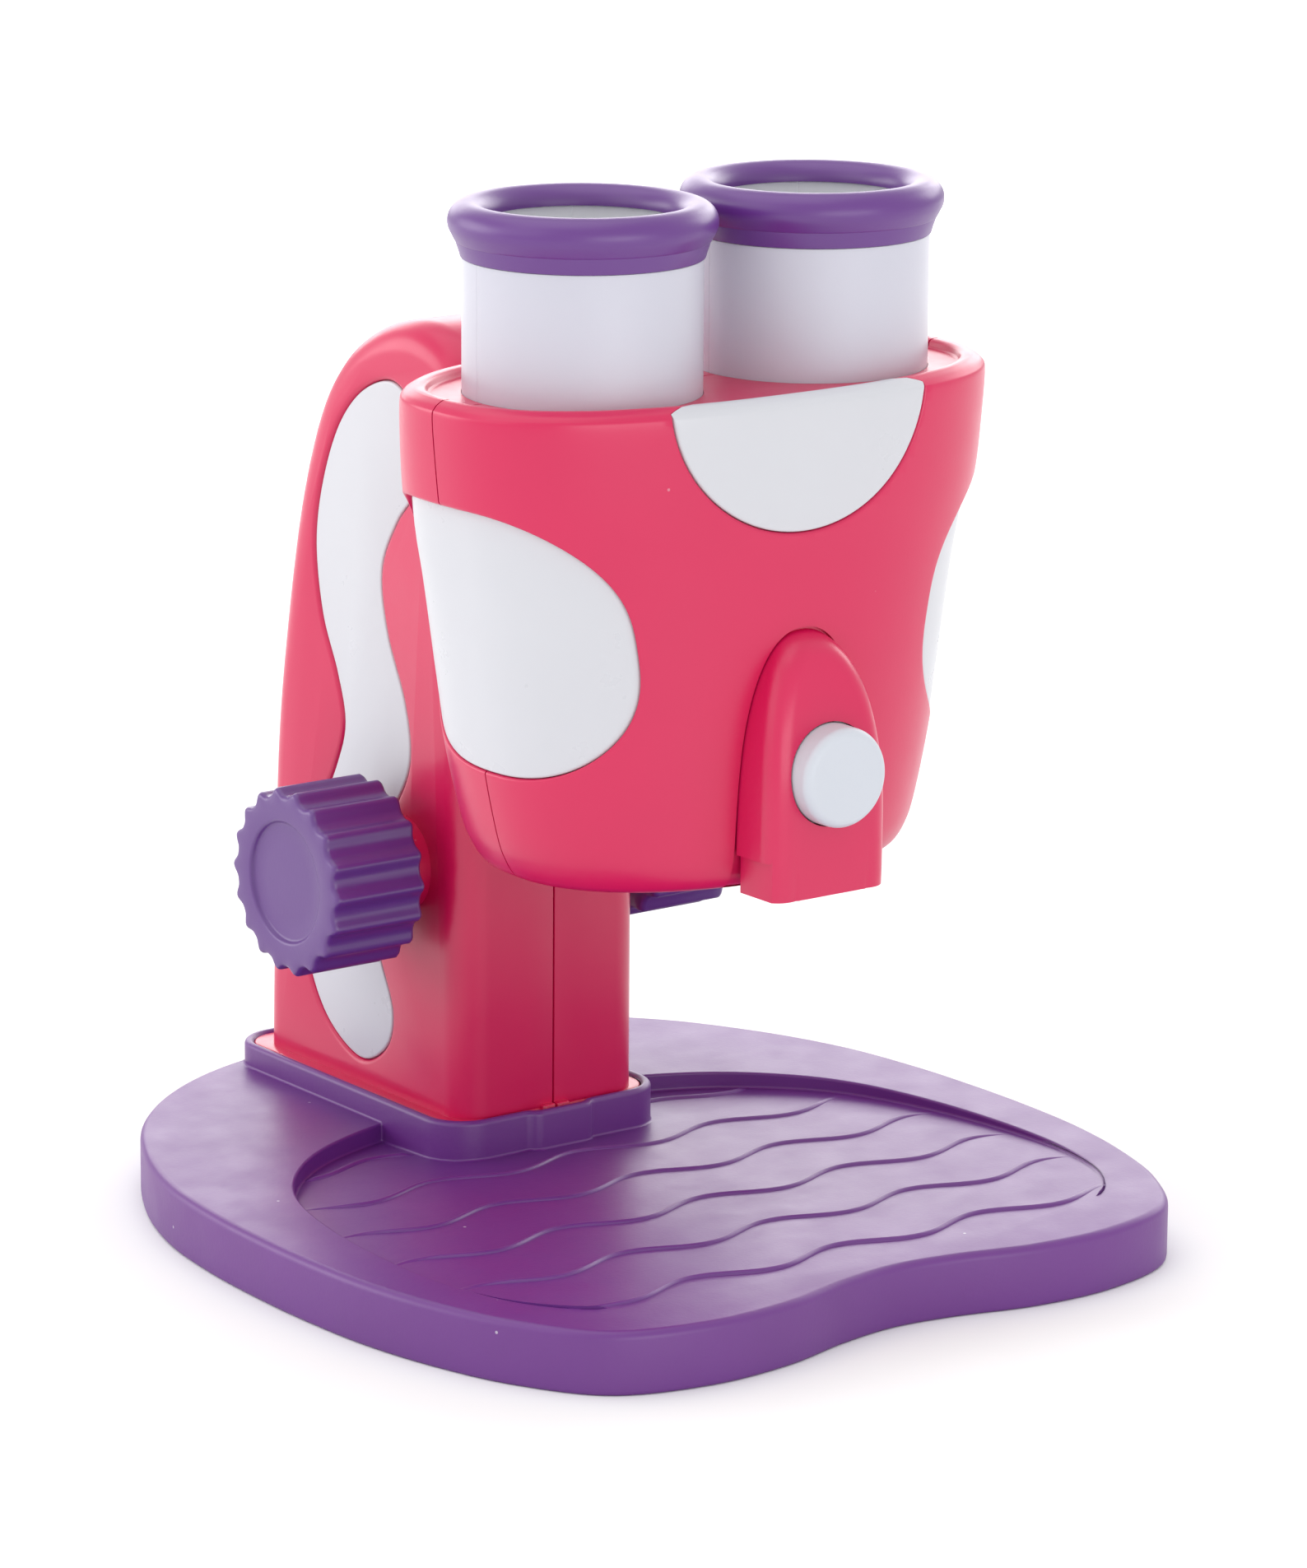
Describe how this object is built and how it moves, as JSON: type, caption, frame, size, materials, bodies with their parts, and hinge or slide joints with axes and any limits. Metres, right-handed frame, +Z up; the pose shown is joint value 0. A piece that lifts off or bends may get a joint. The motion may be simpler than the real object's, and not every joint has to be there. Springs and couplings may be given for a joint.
{
  "type": "toy microscope",
  "caption": "Child's stereo microscope: tapered head with large eyepieces and a light button, geared focus knobs on a hollow arm, wide ribbed base.",
  "frame": {"origin": "on the table, under the middle of the base's outline", "axes": "+X to the right of someone who faces the front, front faces -Y, +Z up"},
  "size_m": [0.184, 0.2031, 0.216],
  "materials": {
    "base_plastic": "fine matte texture",
    "pink_plastic": "satin",
    "white_plastic": "satin",
    "purple_plastic": "satin",
    "frosted_plastic": "frosted, translucent",
    "eyecup_rubber": "soft, matte",
    "black_plastic": "matte",
    "natural_plastic": "satin",
    "felt": "felt",
    "steel": "bright zinc plated",
    "lens": "clear, polished",
    "lamp": "clear resin",
    "circuit_board": "lacquered",
    "cell_wrap": "printed film"
  },
  "bodies": {
    "stand": {"base": "base_plastic", "arm_left": "pink_plastic", "arm_right": "pink_plastic", "arm_inlay_left": "white_plastic", "arm_inlay_right": "white_plastic", "axle_bushes": "natural_plastic", "brake_washers": "felt", "arm_screws": "steel", "base_screws": "steel", "battery_tray": "black_plastic", "battery_cells": "cell_wrap", "battery_contacts": "steel"},
    "head": {"focus_carriage": "natural_plastic", "carriage_screws": "steel", "head_front_shell": "pink_plastic", "head_rear_shell": "pink_plastic", "head_screws": "steel", "half_moon_panel": "white_plastic", "side_panel_left": "white_plastic", "side_panel_right": "white_plastic", "eye_tube_left": "frosted_plastic", "eye_tube_right": "frosted_plastic", "eyecup_left": "eyecup_rubber", "eyecup_right": "eyecup_rubber", "eye_lens_left": "lens", "eye_lens_right": "lens", "inner_barrel_left": "black_plastic", "inner_barrel_right": "black_plastic", "objective_holder": "black_plastic", "objective_lenses": "lens", "light_pod": "pink_plastic", "pod_screws": "steel", "light_board": "circuit_board", "light_switch": "black_plastic", "led": "lamp", "led_window": "lens"},
    "knobs": {"knob_axle": "steel", "drive_pinion": "natural_plastic", "focus_knob_left": "purple_plastic", "focus_knob_right": "purple_plastic"},
    "button": {"light_button": "white_plastic", "switch_stem": "natural_plastic"},
    "battery_cover": {"battery_door": "pink_plastic", "door_screw": "steel"}
  },
  "joints": [
    {"name": "focus_slide", "type": "slide", "parent": "stand", "child": "head", "axis": [0, 0, 1], "range_m": [-0.01, 0.01]},
    {"name": "knob_turn", "type": "hinge", "parent": "stand", "child": "knobs", "pos_m": [0, 0.0413, 0.0687], "axis": [1, 0, 0], "range_deg": [-76, 76]},
    {"name": "button_press", "type": "slide", "parent": "head", "child": "button", "axis": [0, 1, 0], "range_m": [0, 0.002], "stiffness_N_per_m": 400, "springref_m": -0.001},
    {"name": "battery_cover_off", "type": "slide", "parent": "stand", "child": "battery_cover", "axis": [0, 1, 0], "range_m": [0, 0.03]}
  ],
  "couplings": [
    {"joint": "knob_turn", "follows": "focus_slide", "rad_per_m": -129.87}
  ]
}
